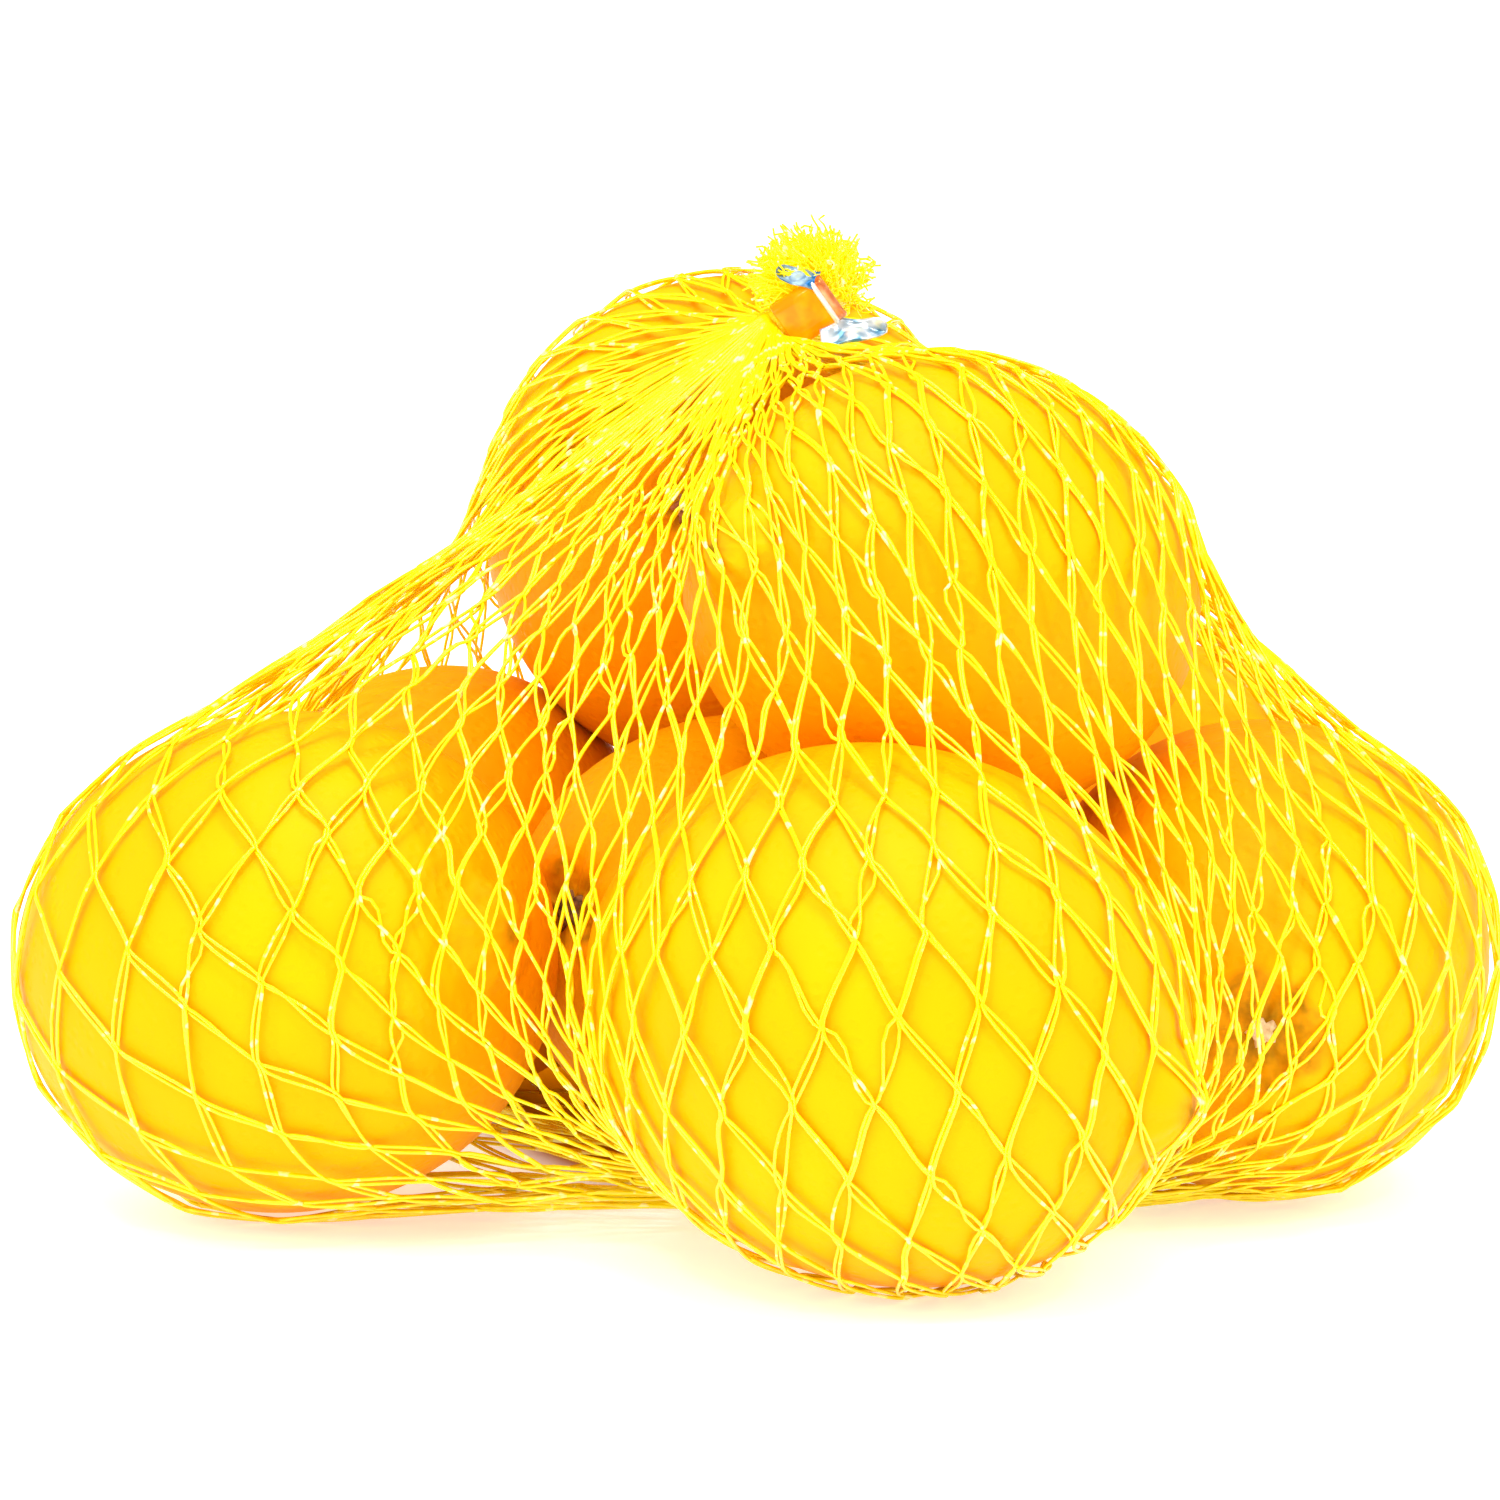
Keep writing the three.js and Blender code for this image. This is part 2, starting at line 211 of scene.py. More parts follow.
def tubes(paths, radius, sides, outwards):
    """Points of a tube round each path; paths and outwards have the shape chains, rings, 3."""
    along = np.empty_like(paths)
    along[:, 1:-1] = paths[:, 2:] - paths[:, :-2]
    along[:, 0] = paths[:, 1] - paths[:, 0]
    along[:, -1] = paths[:, -1] - paths[:, -2]
    along = unit(along)
    across = unit(np.cross(along, outwards))
    normal = np.cross(across, along)
    angle = 2 * np.pi * np.arange(sides) / sides
    radius = np.broadcast_to(np.asarray(radius, float), paths.shape[:2])[..., None, None]
    ring = (
        np.cos(angle)[:, None] * across[:, :, None, :]
        + np.sin(angle)[:, None] * normal[:, :, None, :]
    )
    return (paths[:, :, None, :] + radius * ring).reshape(-1, 3)


# Lemons


def lemon_radius(polar, long, wide):
    """Distance from the centre to the skin, at an angle from the pointed end."""
    oval = 1 / np.sqrt((np.cos(polar) / long) ** 2 + (np.sin(polar) / wide) ** 2)
    inset = long - TIP_INSET
    room = TIP_RADIUS**2 - (inset * np.sin(polar)) ** 2
    near_tip = (room > 0) & (polar < np.pi / 2)
    knob = np.where(near_tip, inset * np.cos(polar) + np.sqrt(np.maximum(room, 0)), 0)
    share = np.clip(0.5 + 0.5 * (knob - oval) / TIP_BLEND, 0, 1)
    return oval * (1 - share) + knob * share + TIP_BLEND * share * (1 - share)


# Lemon, radius of its stem in millimetres, how far the stain reaches, and the stem's material
STEMS = {
    "right": (1.7, 5.3, 1.15, "stem_pale"),
    "middle": (2.4, 4.0, 1.0, "stem_dark"),
    "top_left": (1.7, 2.2, 0.8, "stem_brown"),
    "left": (1.5, 3.6, 0.5, "stem_brown"),
    "front": (1.5, 3.6, 0.5, "stem_brown"),
    "back_left": (1.6, 3.8, 0.5, "stem_brown"),
    "back_right": (1.5, 4.4, 0.6, "stem_pale"),
    "top_right": (1.6, 3.6, 0.5, "stem_brown"),
}
TIP_STAIN = 1.35

# Ends of a lemon, in millimetres: a pucker in a low collar, and the creases that fan out over both
PUCKER_DEPTH = 1.5
PUCKER_RADIUS = 4.2
COLLAR_HEIGHT = 0.35
COLLAR_RADIUS = 7.0
COLLAR_WIDTH = 2.6
CREASE_DEPTH = 0.32
CREASE_RADIUS = 5.0
CREASE_WIDTH = 3.2
TIP_CREASE_DEPTH = 0.16
TIP_CREASE_WIDTH = 2.5
SKIN_WAVES = 7
SKIN_WAVE_DEPTH = 0.07
STAIN_RIM_WIDTH = 0.55
STAIN_CORE_RADIUS = 2.2
# how far each ring of the dry stem stands out, and its size as a share of the stem's radius
STEM_PROFILE = ((0.0, 0.95), (0.7, 1.0), (1.15, 0.86), (1.4, 0.55), (1.2, 0.32))


def bell(distance, middle, width):
    return np.exp(-(((distance - middle) / width) ** 2))


def lemon_piece(name, plan, height, heading, tilt, long, wide, turn, material):
    """One lemon: an oval with a knob at one end, a puckered stem end and an uneven skin."""
    line = pointing(heading, tilt)
    centre = centre_of(plan, height, line, long, wide)
    side = unit(np.cross(UP, line))
    other = np.cross(line, side)
    polar = np.pi * (1 - np.cos(np.pi * np.arange(1, ALONG) / ALONG)) / 2
    around = 2 * np.pi * np.arange(AROUND) / AROUND + math.radians(turn)
    polar, around = np.meshgrid(polar, around, indexing="ij")
    radius = lemon_radius(polar, long, wide)
    from_stem = wide * np.sin(polar)
    stem_side = polar > np.pi / 2
    pucker = -PUCKER_DEPTH * np.exp(-((from_stem / PUCKER_RADIUS) ** 4))
    collar = COLLAR_HEIGHT * bell(from_stem, COLLAR_RADIUS, COLLAR_WIDTH)
    creases = CREASE_DEPTH * np.sin(7 * around + 1.5 * np.sin(3 * around))
    creases = creases * bell(from_stem, CREASE_RADIUS, CREASE_WIDTH)
    radius = radius + np.where(stem_side, pucker + collar + creases, 0)
    tip_creases = TIP_CREASE_DEPTH * np.sin(9 * around) * bell(from_stem, CREASE_RADIUS, TIP_CREASE_WIDTH)
    radius = radius + np.where(stem_side, 0, tip_creases)
    direction = (
        np.cos(polar)[..., None] * line
        + (np.sin(polar) * np.cos(around))[..., None] * side
        + (np.sin(polar) * np.sin(around))[..., None] * other
    )
    for _ in range(SKIN_WAVES):
        wave = rng.normal(0, 1, 3) * 2.6
        swell = np.sin(direction @ wave + rng.uniform(0, 6.3)) - 0.6
        radius = radius + SKIN_WAVE_DEPTH * swell * np.sin(polar)
    points = centre + direction * radius[..., None]
    tip = centre + line * lemon_radius(np.array(0.0), long, wide)
    stem = centre - line * (long - 1.5)
    stacked = np.concatenate([points.reshape(-1, 3), [tip, stem]])
    rows = ALONG - 1
    faces = []
    for row in range(rows - 1):
        for column in range(AROUND):
            beside = (column + 1) % AROUND
            faces.append(
                (
                    row * AROUND + column,
                    (row + 1) * AROUND + column,
                    (row + 1) * AROUND + beside,
                    row * AROUND + beside,
                )
            )
    last = (rows - 1) * AROUND
    for column in range(AROUND):
        beside = (column + 1) % AROUND
        faces.append((rows * AROUND, column, beside))
        faces.append((rows * AROUND + 1, last + beside, last + column))
    piece = mesh_object("lemon_" + name, stacked, faces, material, NET_NODE)
    _, reach, depth, _ = STEMS[name]
    wobble = from_stem + 0.5 * np.sin(3 * around + 1) + 0.25 * np.sin(8 * around)
    rim = bell(wobble, reach, STAIN_RIM_WIDTH) * (0.55 + 0.45 * np.sin(5 * around + 2))
    patch = np.exp(-((wobble / reach) ** 6))
    core = bell(wobble, 0, STAIN_CORE_RADIUS)
    stem_stain = depth * (0.55 * patch + 0.5 * core + 0.6 * rim)
    stain = np.where(stem_side, stem_stain, bell(from_stem, 0, TIP_STAIN))
    layer = piece.data.attributes.new("stain", "FLOAT", "POINT")
    layer.data.foreach_set("value", np.concatenate([stain.ravel(), [1, depth]]).clip(0, 1))


def stem_piece(lemon, materials):
    """The star of dry stem left in the hollow of a lemon's stem end."""
    name, plan, height, heading, tilt, long, wide, turn = lemon
    radius, _, _, material = STEMS[name]
    line = pointing(heading, tilt)
    side = unit(np.cross(UP, line))
    other = np.cross(line, side)
    base = centre_of(plan, height, line, long, wide) - line * (long - 2.4)
    around = 2 * np.pi * np.arange(40) / 40 + math.radians(turn)
    lobe = 1 + 0.22 * np.cos(5 * around) + 0.08 * np.cos(11 * around + 1)
    points = []
    for out, size in STEM_PROFILE:
        spread = radius * size * (1 + (lobe - 1) * size)
        points.append(
            base
            - line * out
            + (spread * np.cos(around))[:, None] * side
            + (spread * np.sin(around))[:, None] * other
        )
    points = np.concatenate([*points, [base - line * 1.05, base]])
    rings, count = len(STEM_PROFILE), len(around)
    faces = []
    for row in range(rings - 1):
        for k in range(count):
            beside = (k + 1) % count
            faces.append(
                (row * count + k, row * count + beside, (row + 1) * count + beside, (row + 1) * count + k)
            )
    for k in range(count):
        beside = (k + 1) % count
        faces.append(((rings - 1) * count + k, (rings - 1) * count + beside, rings * count))
        faces.append((beside, k, rings * count + 1))
    mesh_object("stem_" + name, points, faces, materials[material], NET_NODE)


# Net


def rounds(standoff):
    """What holds the net off: centre, line, half length and half width of each oval and knob."""
    made = []
    for _, plan, height, heading, tilt, long, wide, _ in LEMONS:
        line = pointing(heading, tilt)
        centre = centre_of(plan, height, line, long, wide)
        made.append((centre, line, long + standoff, wide + standoff))
        knob = centre + line * (long - TIP_INSET)
        made.append((knob, line, TIP_RADIUS + standoff, TIP_RADIUS + standoff))
    return made


def push_out(points, held_by, lowest):
    """Moves points out of the rounds and up to the lowest level."""
    points = points.copy()
    for centre, line, long, wide in held_by:
        out = points - centre
        along = out @ line
        across = np.maximum((out**2).sum(-1) - along**2, 0)
        share = np.sqrt((along / long) ** 2 + across / wide**2)
        inside = share < 1
        points[inside] = centre + out[inside] / np.maximum(share[inside], 1e-6)[:, None]
    points[..., 2] = np.maximum(points[..., 2], lowest)
    return points


def ring(centre, line, radius, turn=0.0):
    """One row of knots round a line, bunched towards one side."""
    right = unit(np.array((1.0, 0, 0)) - line[0] * line)
    back = np.cross(line, right)
    angle = 2 * np.pi * (np.arange(COLUMNS) + turn) / COLUMNS
    angle = angle - BUNCH * np.sin(angle - math.radians(BUNCH_HEADING))
    return centre + radius * (np.cos(angle)[:, None] * right + np.sin(angle)[:, None] * back)


def loose_net():
    """A wide bell of knots from the neck to the gather, before it is drawn tight."""
    rows = np.zeros((ROWS + 1, COLUMNS, 3))
    for row in range(ROWS + 1):
        angle = math.pi * row / ROWS
        centre = np.array((*BELL_CENTRE, BELL_MIDDLE + BELL_HALF * math.cos(angle)))
        radius = BELL_RADIUS * max(math.sin(angle), 0) ** BELL_FULLNESS
        rows[row] = ring(centre, UP, radius, (row % 2) / 2)
    rows[0] = ring(NECK, NECK_LINE, NECK_RADIUS)
    rows[ROWS] = ring(GATHER, UP, GATHER_RADIUS, (ROWS % 2) / 2)
    return rows


def below(rows):
    """For each knot but the last row's, the knots down to the left and down to the right."""
    left, right = rows[1:].copy(), rows[1:].copy()
    left[0::2] = np.roll(rows[1::2], 1, axis=1)
    right[1::2] = np.roll(rows[2::2], -1, axis=1)
    return left, right


def hand_down(moves, left, right):
    """Adds each strand's share to the knot at its lower end."""
    moves[1:][0::2] += np.roll(left[0::2], -1, axis=1) + right[0::2]
    moves[1:][1::2] += left[1::2] + np.roll(right[1::2], 1, axis=1)


def draw_tight(rows):
    """Strands pull, keep their length and spread evenly; the fruit and the floor hold them off."""
    held_by = rounds(NET_STANDS_OFF)
    longest = LONGEST * STRAND
    shortest = np.zeros((ROWS, 1, 1))
    for last, share in reversed(SHORTEST):
        shortest[:last] = share * STRAND
    loose = np.ones((ROWS - 1, COLUMNS, 1))
    for sweep in range(SWEEPS):
        left_over = 1 - sweep / SWEEPS
        pull = (PULL * left_over + LAST_PULL) / 4
        even = EVEN * left_over + LAST_EVEN * (1 - left_over)
        moves = np.zeros_like(rows)
        shares = []
        for lower in below(rows):
            span = lower - rows[:-1]
            length = np.linalg.norm(span, axis=-1, keepdims=True) + 1e-9
            error = length - np.clip(length, shortest, longest)
            share = np.minimum(pull + LENGTH_SHARE * error / (2 * length), MOST_SHARE) * span
            moves[:-1] += share
            shares.append(-share)
        hand_down(moves, *shares)
        moves += even * ((np.roll(rows, 1, axis=1) + np.roll(rows, -1, axis=1)) / 2 - rows)
        moved = rows[1:-1] + moves[1:-1] * loose
        rows[1:-1] = push_out(moved, held_by, NET_STANDS_OFF)
        held = (rows[1:-1] != moved).any(axis=-1, keepdims=True)
        loose = np.where(held, 1 - GRIP, 1)
    return rows


def knot_frames(rows):
    """At each knot: the way down the net, the way round it, and the way out of it."""
    left, right = below(rows)
    down = np.zeros_like(rows)
    round_ = np.zeros_like(rows)
    lower = (left + right) / 2 - rows[:-1]
    down[:-1] += lower
    apart = right - left
    round_[:-1] += apart
    upper_left, upper_right = np.zeros_like(rows), np.zeros_like(rows)
    hand_down(upper_left, np.zeros_like(left), rows[:-1])
    hand_down(upper_right, rows[:-1], np.zeros_like(left))
    down[1:] += rows[1:] - (upper_left[1:] + upper_right[1:]) / 2
    round_[1:] += upper_right[1:] - upper_left[1:]
    down = unit(down)
    out = unit(np.cross(down, round_))
    return down, unit(np.cross(out, down)), out


def strand_chains(rows, steps_right):
    """Column of each chain's knot in every row, when steps_right(row) says which way it steps."""
    columns = np.zeros((COLUMNS, ROWS + 1), int)
    columns[:, 0] = np.arange(COLUMNS)
    for row in range(ROWS):
        shift = (0 if row % 2 == 0 else 1) if steps_right(row) else (-1 if row % 2 == 0 else 0)
        columns[:, row + 1] = (columns[:, row] + shift) % COLUMNS
    return columns


def filament_paths(rows, frames, columns, knot_place, bow_side):
    """Smooth paths down the net: each strand leaves and enters its knots along the way down."""
    down, side, out = frames
    row_index = np.arange(ROWS + 1)
    knots = rows[row_index, columns]
    downs, sides, outs = (f[row_index, columns] for f in (down, side, out))
    knots = knots + sides * knot_place[0] + outs * knot_place[1]
    start, end = knots[:, :-1], knots[:, 1:]
    span = np.linalg.norm(end - start, axis=-1, keepdims=True)
    reach = np.minimum(KNOT_HALF, span * 0.3)
    leave = start + downs[:, :-1] * reach
    enter = end - downs[:, 1:] * reach
    u = np.arange(FILAMENT_STEPS)[None, None, :, None] / FILAMENT_STEPS
    a, b, c, d = (p[:, :, None, :] for p in (start, leave, enter, end))
    path = (1 - u) ** 3 * a + 3 * u * (1 - u) ** 2 * b + 3 * u**2 * (1 - u) * c + u**3 * d
    outward = outs[:, :-1, None, :] * (1 - u) + outs[:, 1:, None, :] * u
    along = unit(end - start)[:, :, None, :]
    lateral = unit(np.cross(outward, along))
    shape = (COLUMNS, ROWS, 1, 1)
    amount = rng.uniform(*BOW, shape) + SLACK_BOW * (rng.uniform(0, 1, shape) < SLACK_SHARE)
    amount = amount * np.minimum(np.arange(1, ROWS + 1) / PLAY_ROWS, 1)[None, :, None, None]
    crossing = rng.uniform(0, 1, shape) < CROSSING_SHARE
    bow = np.where(crossing, np.sin(2 * np.pi * u), np.sin(np.pi * u))
    lift = rng.uniform(*LIFT, shape) * np.sin(np.pi * u)
    path = path + lateral * bow * amount * bow_side + outward * lift
    chains = path.reshape(COLUMNS, ROWS * FILAMENT_STEPS, 3)
    outward = np.broadcast_to(outward, path.shape).reshape(chains.shape)
    return (
        np.concatenate([chains, knots[:, -1:]], axis=1),
        np.concatenate([outward, outs[:, -1:]], axis=1),
    )


def net_pieces(material):
    """Four families of filaments: two that keep their way round, and two that turn at each knot."""
    rows = draw_tight(loose_net())
    settled = np.minimum(np.arange(1, ROWS) / PLAY_ROWS, 1)[:, None, None] ** 2
    rows[1:-1] += rng.normal(0, KNOT_WANDER, rows[1:-1].shape) * settled
    rows[1:-1] = push_out(rows[1:-1], rounds(NET_STANDS_OFF), NET_STANDS_OFF)
    frames = knot_frames(rows)
    held_by = rounds(FILAMENT_RADIUS + 0.1)
    families = {
        "net_right_strands": (lambda row: True, (0.3, 0.05), 1),
        "net_left_strands": (lambda row: False, (-0.3, 0.05), -1),
        "net_even_loops": (lambda row: row % 2 == 0, (0.1, 0.28), -1),
        "net_odd_loops": (lambda row: row % 2 == 1, (-0.1, -0.2), 1),
    }
    for name, (steps_right, place, side) in families.items():
        columns = strand_chains(rows, steps_right)
        path, outward = filament_paths(rows, frames, columns, place, side)
        path = push_out(path, held_by, FILAMENT_RADIUS)
        points = tubes(path, FILAMENT_RADIUS, FILAMENT_SIDES, outward)
        faces = tube_faces(COLUMNS, path.shape[1], FILAMENT_SIDES)
        mesh_object(name, points, faces, material, NET_NODE)


def thread_piece(name, paths, radius, sides, material):
    """Loose threads; paths has the shape threads, points, 3."""
    outwards = np.broadcast_to(np.array((0.31, -0.9, 0.3)), paths.shape)
    points = tubes(paths, radius, sides, outwards)
    faces = tube_faces(paths.shape[0], paths.shape[1], sides)
    mesh_object(name, points, faces, material, NET_NODE)


def neck_bundle(material):
    """The threads of every column, drawn together from the top row through the clip."""
    count = COLUMNS * 4
    start = np.repeat(ring(NECK, NECK_LINE, NECK_RADIUS), 4, axis=0)
    right = unit(np.array((1.0, 0, 0)) - NECK_LINE[0] * NECK_LINE)
    back = np.cross(NECK_LINE, right)
    spread = BUNDLE_RADIUS * np.sqrt(rng.uniform(0.1, 1, count))
    angle = rng.uniform(0, 2 * np.pi, count)
    toward = np.arctan2((start - NECK) @ back, (start - NECK) @ right)
    angle = toward + 0.25 * np.sin(angle)
    inside = spread[:, None] * (np.cos(angle)[:, None] * right + np.sin(angle)[:, None] * back)
    u = np.linspace(0, 1, BUNDLE_STEPS)[None, :, None]
    ease = np.minimum(u * 2.2, 1)
    line = NECK + NECK_LINE * (CLIP_START + CLIP_LENGTH + 0.6) * u
    path = line + (start - NECK)[:, None] * (1 - ease) + inside[:, None] * ease
    path = path + rng.normal(0, BUNDLE_WANDER, (count, 1, 3)) * np.sin(np.pi * u)
    thread_piece("net_neck", path, FILAMENT_RADIUS * 1.1, FILAMENT_SIDES, material)


def tuft(material):
    """The cut ends of the net above the clip, frayed and standing up and out to both sides."""
    root = NECK + NECK_LINE * (CLIP_START + CLIP_LENGTH)
    spread = rng.normal(0, 1, (TUFT_THREADS, 3)) * TUFT_SPREAD
    heading = unit(TUFT_HEADING + spread)
    heading[:, 2] = np.maximum(heading[:, 2], -0.1)
    length = TUFT_LENGTH - TUFT_LONGER_LEFT * heading[:, 0]
    length = length * np.sqrt(rng.uniform(0.12, 1, TUFT_THREADS))
    length = np.minimum(length, TUFT_HEIGHT / np.maximum(heading[:, 2], 0.35))
    start = root + TUFT_START + rng.normal(0, 0.9, (TUFT_THREADS, 3)) * (0.8, 1, 1)
    u = np.linspace(0, 1, TUFT_STEPS)[None, :, None]
    leave = NECK_LINE * 1.2 * (1 - u) ** 2
    path = start[:, None] + heading[:, None] * length[:, None, None] * u + leave * u
    for turns in TUFT_CURL_TURNS:
        axis = rng.normal(0, 1, (TUFT_THREADS, 1, 3))
        phase = rng.uniform(0, 2 * np.pi, (TUFT_THREADS, 1, 1))
        curl = np.sin(2 * np.pi * turns * u + phase) * np.minimum(u * 2, 1)
        path = path + axis * (TUFT_CURL / turns) * curl
    path[..., 2] = np.minimum(path[..., 2], TUFT_TOP)
    front = NECK[1] - TUFT_FRONT + TUFT_FRONT_SLOPE * (TUFT_FRONT_HEIGHT - path[..., 2])
    path[..., 1] = np.maximum(path[..., 1], front)
    thread_piece("net_tuft", path, TUFT_THREAD_RADIUS, TUFT_THREAD_SIDES, material)


# Clip


def rounded_box(half, corner, count=12):
    """Points round a box with round corners, and the way out at each."""
    height, width = half
    points, outs = [], []
    for turn, (across, along) in enumerate(((1, 1), (-1, 1), (-1, -1), (1, -1))):
        for step in range(count + 1):
            angle = math.pi / 2 * (turn + step / count)
            out = (math.cos(angle), math.sin(angle))
            middle = (across * (height - corner), along * (width - corner))
            points.append((middle[0] + corner * out[0], middle[1] + corner * out[1]))
            outs.append(out)
    return np.array(points), np.array(outs)


def clip_ring(name, shape, material):
    """A band of the metal strip bent round the neck."""
    outline, outs = rounded_box(CLIP_HALF, CLIP_CORNER)
    high = np.array((NECK_LINE[2], 0, -NECK_LINE[0]))
    across = np.array((0.0, 1.0, 0.0))
    rings = [*shape, *((along, min(out, 0) - CLIP_WALL) for along, out in reversed(shape))]
    points = []
    for along, out in rings:
        flat = outline + outs * out
        place = NECK + NECK_LINE * (CLIP_START + along)
        points.append(place + flat[:, :1] * high + flat[:, 1:] * across)
    count = len(outline)
    faces = []
    for row in range(len(rings)):
        beyond = (row + 1) % len(rings)
        for k in range(count):
            beside = (k + 1) % count
            faces.append(
                (row * count + k, row * count + beside, beyond * count + beside, beyond * count + k)
            )
    mesh_object(name, np.concatenate(points), faces, material, CLIP_NODE)


def flap_piece(name, root, runs, lies, length, width, end_width, material):
    """A loose end of the strip: a thin, slightly crumpled tongue with a round tip."""
    runs = unit(np.array(runs, float))
    across = unit(np.cross(np.array(lies, float), runs))
    normal = np.cross(runs, across)
    long_steps, wide_steps = 26, 12
    u = np.linspace(0, 1, long_steps)[:, None]
    v = np.linspace(-1, 1, wide_steps)[None, :]
    round_tip = np.sqrt(np.maximum(1 - np.maximum(u - 0.8, 0) ** 2 / 0.041, 0.02))
    half = (width + (end_width - width) * u) / 2 * round_tip
    crumple = 0.28 * np.sin(5 * u + 2.4 * v) + 0.16 * np.sin(11 * u - 3 * v + 1) + 0.5 * v**2 - 0.2
    sheet = (
        CLIP_MIDDLE
        + np.array(root)
        + (u * length * np.ones_like(v))[..., None] * runs
        + (v * half)[..., None] * across
        + (crumple * np.minimum(u * 4, 1))[..., None] * normal
    )
    thick = FLAP_HALF_THICK * normal
    points = np.concatenate([(sheet + thick).reshape(-1, 3), (sheet - thick).reshape(-1, 3)])
    size = long_steps * wide_steps
    faces = []
    for i in range(long_steps - 1):
        for j in range(wide_steps - 1):
            a = i * wide_steps + j
            b, c, d = a + wide_steps, a + wide_steps + 1, a + 1
            faces += [(a, b, c, d), (a + size, d + size, c + size, b + size)]
    rim = [(i, 0) for i in range(long_steps)]
    rim += [(long_steps - 1, j) for j in range(1, wide_steps)]
    rim += [(i, wide_steps - 1) for i in range(long_steps - 2, -1, -1)]
    rim += [(0, j) for j in range(wide_steps - 2, 0, -1)]
    rim = [i * wide_steps + j for i, j in rim]
    for a, b in zip(rim, rim[1:] + rim[:1]):
        faces.append((b, a, a + size, b + size))
    mesh_object(name, points, faces, material, CLIP_NODE)


# Materials


def new_material(name):
    material = bpy.data.materials.new(name)
    material.use_nodes = True
    return material, material.node_tree.nodes, material.node_tree.links


def put(node, values):
    for name, value in values.items():
        node.inputs[name].default_value = value


def ramp(nodes, low, high, low_colour, high_colour):
    node = nodes.new("ShaderNodeValToRGB")
    node.color_ramp.elements[0].position = low
    node.color_ramp.elements[0].color = (*low_colour, 1)
    node.color_ramp.elements[1].position = high
    node.color_ramp.elements[1].color = (*high_colour, 1)
    return node


def texture(nodes, links, kind, values):
    """A texture fixed to the object."""
    where = nodes.new("ShaderNodeTexCoord")
    made = nodes.new(kind)
    put(made, values)
    links.new(where.outputs["Object"], made.inputs["Vector"])
    return made


def dent(nodes, links, height, strength, shader):
    """Lets a texture's height bend the light on the surface."""
    dents = nodes.new("ShaderNodeBump")
    put(dents, {"Strength": strength, "Distance": 0.0003})
    links.new(height, dents.inputs["Height"])
    links.new(dents.outputs["Normal"], shader.inputs["Normal"])


def peel():
    """Waxy yellow skin with pores, and brown where the stain layer says so."""
    material, nodes, links = new_material("lemon_peel")
    shader = nodes["Principled BSDF"]
    blotch = texture(nodes, links, "ShaderNodeTexNoise", {"Scale": 38, "Detail": 3})
    colour = ramp(nodes, 0.35, 0.68, (0.95, 0.378, 0.0), (0.97, 0.43, 0.0))
    links.new(blotch.outputs["Fac"], colour.inputs["Fac"])
    stain = nodes.new("ShaderNodeAttribute")
    stain.attribute_name = "stain"
    mottle = texture(nodes, links, "ShaderNodeTexNoise", {"Scale": 700})
    patchy = nodes.new("ShaderNodeMapRange")
    put(patchy, {"From Min": 0.3, "From Max": 0.7, "To Min": 0.55, "To Max": 1.1})
    links.new(mottle.outputs["Fac"], patchy.inputs["Value"])
    amount = nodes.new("ShaderNodeMath")
    amount.operation = "MULTIPLY"
    amount.use_clamp = True
    links.new(stain.outputs["Fac"], amount.inputs[0])
    links.new(patchy.outputs["Result"], amount.inputs[1])
    stained = nodes.new("ShaderNodeMixRGB")
    put(stained, {"Color2": (0.30, 0.15, 0.004, 1)})
    links.new(amount.outputs["Value"], stained.inputs["Fac"])
    links.new(colour.outputs["Color"], stained.inputs["Color1"])
    links.new(stained.outputs["Color"], shader.inputs["Base Color"])
    pores = texture(nodes, links, "ShaderNodeTexVoronoi", {"Scale": 620})
    pits = nodes.new("ShaderNodeMapRange")
    put(pits, {"From Min": 0.0, "From Max": 0.45})
    links.new(pores.outputs["Distance"], pits.inputs["Value"])
    dent(nodes, links, pits.outputs["Result"], 0.35, shader)
    put(shader, {"Roughness": 0.45, "Specular IOR Level": 0.04})
    return material


def stem_material(name, dark, light):
    """Dry grainy wood."""
    material, nodes, links = new_material(name)
    shader = nodes["Principled BSDF"]
    grain = texture(nodes, links, "ShaderNodeTexNoise", {"Scale": 1500})
    colour = ramp(nodes, 0.3, 0.7, dark, light)
    links.new(grain.outputs["Fac"], colour.inputs["Fac"])
    links.new(colour.outputs["Color"], shader.inputs["Base Color"])
    put(shader, {"Roughness": 0.8})
    return material


def metal(name, dark, light, mirror=0.45, glow=0.0):
    """Thin aluminium with painted reflections in its colour: warm where the yellow of the fruit and the net
    would show in it.
    """
    material, nodes, links = new_material(name)
    shader = nodes["Principled BSDF"]
    streak = texture(nodes, links, "ShaderNodeTexNoise", {"Scale": 420})
    colour = ramp(nodes, 0.38, 0.62, dark, light)
    links.new(streak.outputs["Fac"], colour.inputs["Fac"])
    links.new(colour.outputs["Color"], shader.inputs["Base Color"])
    # painted light: the painted reflection colour also glows, by the glow strength
    links.new(colour.outputs["Color"], shader.inputs["Emission Color"])
    dent(nodes, links, streak.outputs["Fac"], 0.3, shader)
    put(shader, {"Emission Strength": glow, "Metallic": mirror})
    put(shader, {"Specular IOR Level": 0.2, "Roughness": 0.22})
    return material


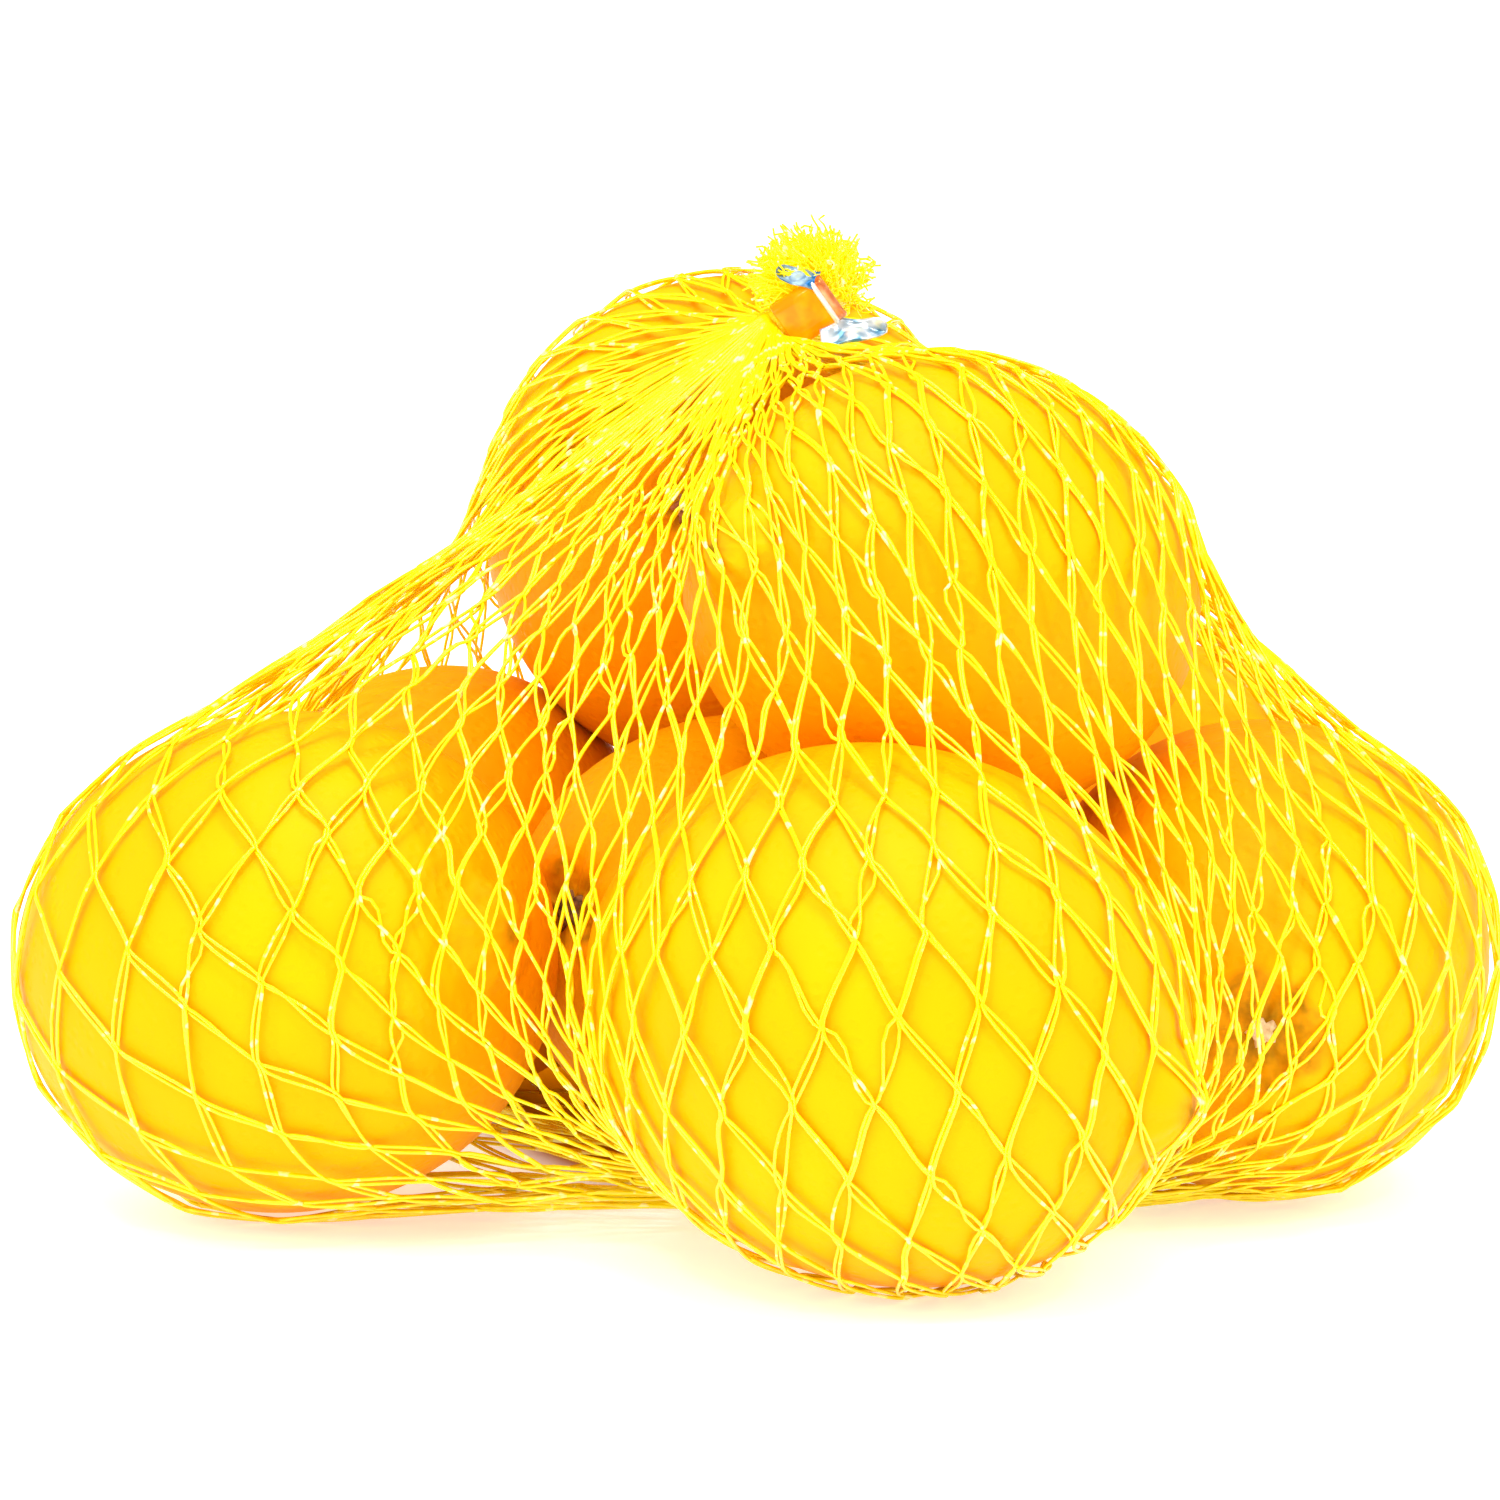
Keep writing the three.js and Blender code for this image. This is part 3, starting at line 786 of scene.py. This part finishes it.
def net_plastic(name, dull, bright, painted_glint):
    """Thin glossy plastic thread, with pale flecks painted in as glints."""
    material, nodes, links = new_material(name)
    shader = nodes["Principled BSDF"]
    streak = texture(nodes, links, "ShaderNodeTexNoise", {"Scale": 520, "Detail": 1})
    colour = ramp(nodes, 0.36, 0.6, dull, bright)
    # painted highlight: pale flecks stand for glints on the thread
    painted_glint_stop = colour.color_ramp.elements.new(0.70)
    painted_glint_stop.color = (*painted_glint, 1)
    colour.color_ramp.elements.new(0.645).color = (*bright, 1)
    links.new(streak.outputs["Fac"], colour.inputs["Fac"])
    links.new(colour.outputs["Color"], shader.inputs["Base Color"])
    put(shader, {"Roughness": 0.22, "Specular IOR Level": 0.55})
    return material


# Stage

FLOOR_HALF = 8.0
FLOOR_WHITE = (0.92, 0.92, 0.92)
FLOOR_GLOW = (0.45, 0.45, 0.45)
# the soft warm shade painted on the floor inside the heap: middle, turn, half width and half length in
# metres
SHADE_MIDDLE = (-0.018, 0.033, 0.0)
SHADE_TURN = math.radians(13)
SHADE_REACH = (0.021, 0.050, 1.0)
PAINTED_SHADE_COLOUR = (0.62, 0.25, 0.0)
PAINTED_SHADE_GLOW = (0.03, 0.012, 0.0)
SHADE_EDGE = 0.28
WORLD_LIGHT = 1.32
# name, place in metres, diameter in metres, and watts; all of them aim at the heap
LIGHTS = (
    ("key", (-0.35, -0.75, 0.95), 0.14, 2.2),
    ("second", (0.5, -0.6, 0.8), 0.1, 1.3),
    ("third", (-0.9, -0.5, 0.45), 0.1, 0.8),
    ("overhead", (0, -0.25, 1.2), 0.7, 8),
)
LIGHTS_AIM = (0, 0, 0.05)


def area_light(name, place, size, energy):
    light = bpy.data.lights.new(name, "AREA")
    light.shape = "DISK"
    light.size = size
    light.energy = energy
    lamp = bpy.data.objects.new(name, light)
    bpy.context.collection.objects.link(lamp)
    lamp.location = place
    look = np.array(LIGHTS_AIM) - np.array(place)
    lamp.rotation_euler = Vector(look).to_track_quat("-Z", "Y").to_euler()


def floor():
    """A white floor that darkens softly inside the heap, where a warm shade is painted on it."""
    mesh = bpy.data.meshes.new("floor")
    corners = [(-1, -1, 0), (1, -1, 0), (1, 1, 0), (-1, 1, 0)]
    mesh.from_pydata((np.array(corners) * FLOOR_HALF).tolist(), [], [(0, 1, 2, 3)])
    plane = bpy.data.objects.new("floor", mesh)
    bpy.context.collection.objects.link(plane)
    material, nodes, links = new_material("floor")
    shader = nodes["Principled BSDF"]
    where = nodes.new("ShaderNodeTexCoord")
    place = nodes.new("ShaderNodeMapping")
    place.vector_type = "TEXTURE"
    put(place, {"Location": SHADE_MIDDLE, "Rotation": (0, 0, SHADE_TURN), "Scale": SHADE_REACH})
    near = nodes.new("ShaderNodeTexGradient")
    near.gradient_type = "SPHERICAL"
    # painted shade: the floor's colour and glow fade to a warm brown towards the middle of the heap
    colour = ramp(nodes, 0.0, SHADE_EDGE, FLOOR_WHITE, PAINTED_SHADE_COLOUR)
    glow = ramp(nodes, 0.0, SHADE_EDGE, FLOOR_GLOW, PAINTED_SHADE_GLOW)
    links.new(where.outputs["Object"], place.inputs["Vector"])
    links.new(place.outputs["Vector"], near.inputs["Vector"])
    links.new(near.outputs["Fac"], colour.inputs["Fac"])
    links.new(near.outputs["Fac"], glow.inputs["Fac"])
    links.new(colour.outputs["Color"], shader.inputs["Base Color"])
    links.new(glow.outputs["Color"], shader.inputs["Emission Color"])
    put(shader, {"Emission Strength": 1.0, "Roughness": 0.9, "Specular IOR Level": 0.0})
    mesh.materials.append(material)


def studio():
    """Plain white surroundings with soft light from above and in front."""
    floor()
    world = bpy.data.worlds.new("soft_white")
    world.use_nodes = True
    put(world.node_tree.nodes["Background"], {"Color": (1, 1, 1, 1), "Strength": WORLD_LIGHT})
    world.cycles_visibility.glossy = False
    bpy.context.scene.world = world
    for light in LIGHTS:
        area_light(*light)
    view = bpy.context.scene.view_settings
    view.view_transform = "Standard"
    view.look = "None"


def photo_camera():
    """The photograph's view: its distance, its height above the table, and its focal length."""
    distance = 0.700
    above = math.radians(8.26)
    target = np.array((-0.0012, -0.0085, 0.0548))
    focal_pixels = 5714
    frame_pixels = 1500
    camera = bpy.data.cameras.new("photo_camera")
    camera.sensor_width = 36
    camera.lens = focal_pixels / frame_pixels * camera.sensor_width
    camera.clip_start = 0.01
    holder = bpy.data.objects.new("photo_camera", camera)
    bpy.context.collection.objects.link(holder)
    look = np.array((0, math.cos(above), -math.sin(above)))
    holder.location = target - look * distance
    holder.rotation_euler = (math.pi / 2 - above, 0, 0)
    bpy.context.scene.camera = holder


photo_camera()
studio()
skin = peel()
stems = {
    "stem_pale": stem_material("stem_pale", (0.6, 0.42, 0.18), (0.95, 0.78, 0.5)),
    "stem_brown": stem_material("stem_brown", (0.16, 0.05, 0.01), (0.5, 0.2, 0.08)),
    "stem_dark": stem_material("stem_dark", (0.05, 0.02, 0.004), (0.3, 0.14, 0.03)),
}
for lemon in LEMONS:
    lemon_piece(*lemon, skin)
    stem_piece(lemon, stems)
yellow = net_plastic("net_plastic", (0.97, 0.70, 0.0), (0.98, 0.84, 0.003), (1.0, 0.97, 0.35))
frayed = net_plastic("net_frayed", (0.98, 0.76, 0.0), (1.0, 0.87, 0.01), (1.0, 0.98, 0.6))
# The frayed threads glow: painted light that brightens the shade inside the tuft.
frayed_painted_light = frayed.node_tree.nodes["Principled BSDF"]
put(frayed_painted_light, {"Emission Color": (1.0, 0.7, 0.0, 1), "Emission Strength": 0.25})
net_pieces(yellow)
neck_bundle(yellow)
tuft(frayed)
# The clip's colours are painted: blue and white reflection streaks on the ends, a glowing warm reflection
# of the fruit on the strip, a painted highlight on the rib and a copper painted reflection on the edge.
silver = metal("clip_silver_painted_reflection", (0.12, 0.3, 0.45), (0.95, 0.97, 1.0))
blue = metal("clip_painted_blue_reflection", (0.005, 0.12, 0.34), (0.42, 0.58, 0.68), 0.2)
warm = metal("clip_painted_warm_reflection", (1.0, 0.19, 0.0), (1.0, 0.28, 0.0), 0.05, 0.45)
clip_ring("clip_strip", STRIP_SHAPE, warm)
clip_ring("clip_rib", RIB_SHAPE, metal("clip_painted_highlight", (0.9, 0.86, 0.8), (1.0, 1.0, 1.0)))
clip_ring("clip_edge", EDGE_SHAPE, metal("clip_painted_copper_reflection", (0.75, 0.16, 0.03), (0.95, 0.4, 0.2)))
for flap, shade in zip(CLIP_FLAPS, (silver, blue)):
    flap_piece(*flap, shade)
